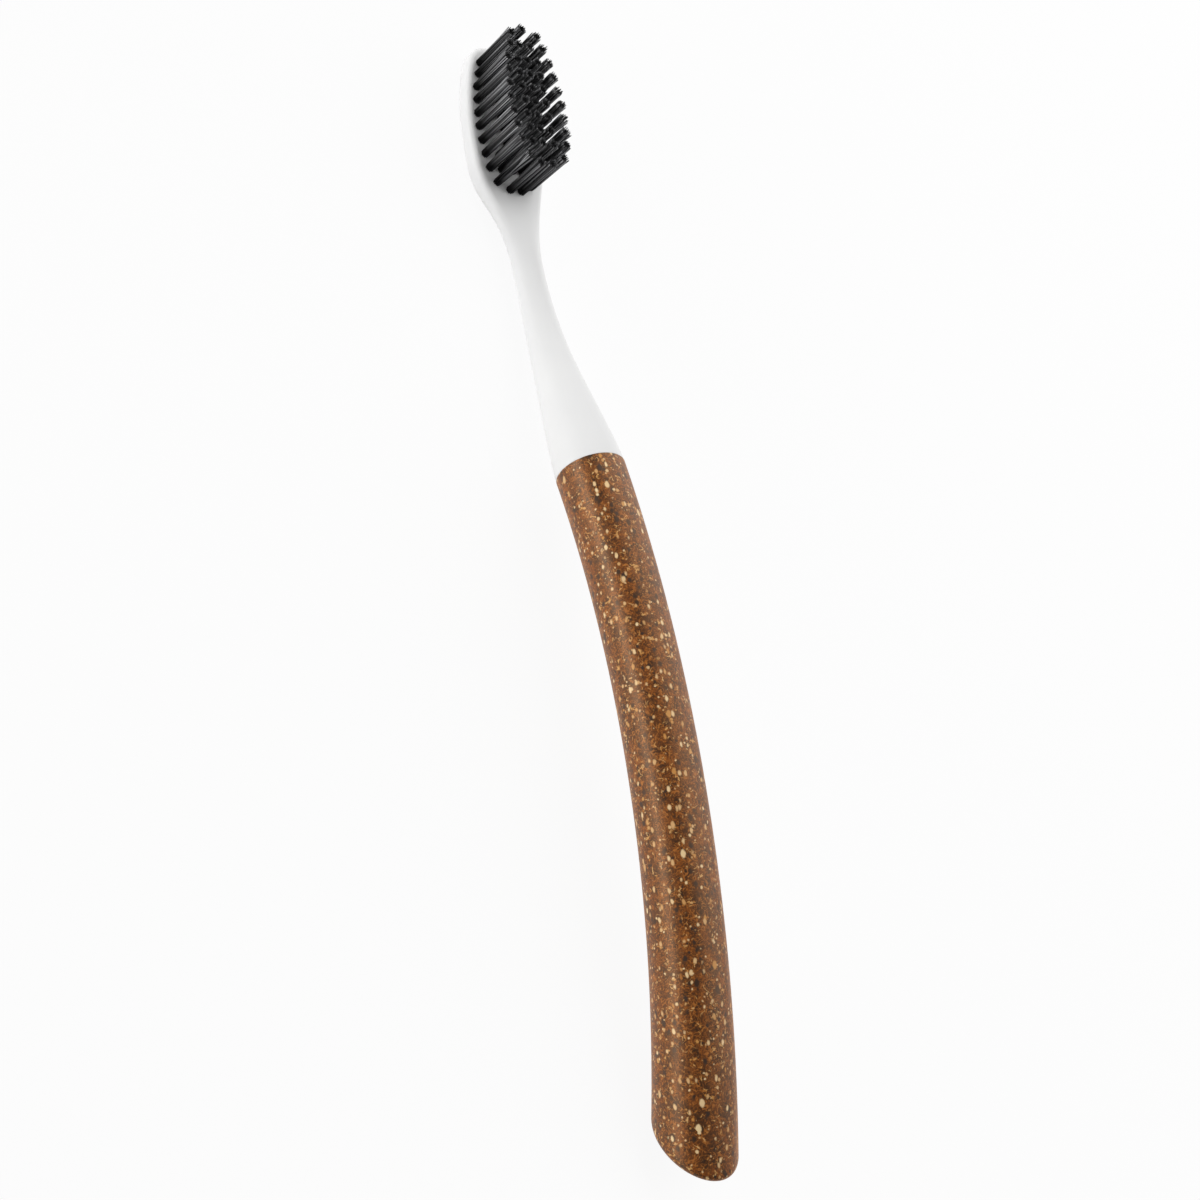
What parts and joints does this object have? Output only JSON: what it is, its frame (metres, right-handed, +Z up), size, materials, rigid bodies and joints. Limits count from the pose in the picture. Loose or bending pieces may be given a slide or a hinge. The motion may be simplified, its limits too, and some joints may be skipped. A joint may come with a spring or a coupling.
{
  "type": "manual toothbrush",
  "caption": "Manual toothbrush with a bowed round composite handle, slanted at its end, and a slim white push-fit head with round black bristle tufts",
  "frame": {"origin": "middle of the ground that the brush covers as it lies on its back, bristles up", "axes": "+X from the handle toward the head tip, +Y across, +Z up, the way the bristles point"},
  "size_m": [0.1874, 0.0134, 0.0197],
  "materials": {
    "handle_composite": "satin moulded wood-fibre composite with pale and dark flecks",
    "head_plastic": "satin white moulded plastic",
    "bristle_nylon": "charcoal black nylon filaments",
    "anchor_wire": "bare nickel-silver strip"
  },
  "bodies": {
    "head": {"brush_head": "head_plastic", "tuft_anchors": "anchor_wire", "tuft_row_01_1": "bristle_nylon", "tuft_row_01_2": "bristle_nylon", "tuft_row_01_3": "bristle_nylon", "tuft_row_02_1": "bristle_nylon", "tuft_row_02_2": "bristle_nylon", "tuft_row_02_3": "bristle_nylon", "tuft_row_02_4": "bristle_nylon", "tuft_row_03_1": "bristle_nylon", "tuft_row_03_2": "bristle_nylon", "tuft_row_03_3": "bristle_nylon", "tuft_row_03_4": "bristle_nylon", "tuft_row_03_5": "bristle_nylon", "tuft_row_04_1": "bristle_nylon", "tuft_row_04_2": "bristle_nylon", "tuft_row_04_3": "bristle_nylon", "tuft_row_04_4": "bristle_nylon", "tuft_row_04_5": "bristle_nylon", "tuft_row_05_1": "bristle_nylon", "tuft_row_05_2": "bristle_nylon", "tuft_row_05_3": "bristle_nylon", "tuft_row_05_4": "bristle_nylon", "tuft_row_05_5": "bristle_nylon", "tuft_row_06_1": "bristle_nylon", "tuft_row_06_2": "bristle_nylon", "tuft_row_06_3": "bristle_nylon", "tuft_row_06_4": "bristle_nylon", "tuft_row_06_5": "bristle_nylon", "tuft_row_07_1": "bristle_nylon", "tuft_row_07_2": "bristle_nylon", "tuft_row_07_3": "bristle_nylon", "tuft_row_07_4": "bristle_nylon", "tuft_row_07_5": "bristle_nylon", "tuft_row_08_1": "bristle_nylon", "tuft_row_08_2": "bristle_nylon", "tuft_row_08_3": "bristle_nylon", "tuft_row_08_4": "bristle_nylon", "tuft_row_08_5": "bristle_nylon", "tuft_row_09_1": "bristle_nylon", "tuft_row_09_2": "bristle_nylon", "tuft_row_09_3": "bristle_nylon", "tuft_row_09_4": "bristle_nylon", "tuft_row_09_5": "bristle_nylon", "tuft_row_10_1": "bristle_nylon", "tuft_row_10_2": "bristle_nylon", "tuft_row_10_3": "bristle_nylon", "tuft_row_10_4": "bristle_nylon"},
    "handle": {"handle": "handle_composite"}
  },
  "joints": [
    {"name": "handle_release", "type": "slide", "parent": "head", "child": "handle", "axis": [-0.977, 0, 0.213], "range_m": [0, 0.02]}
  ]
}
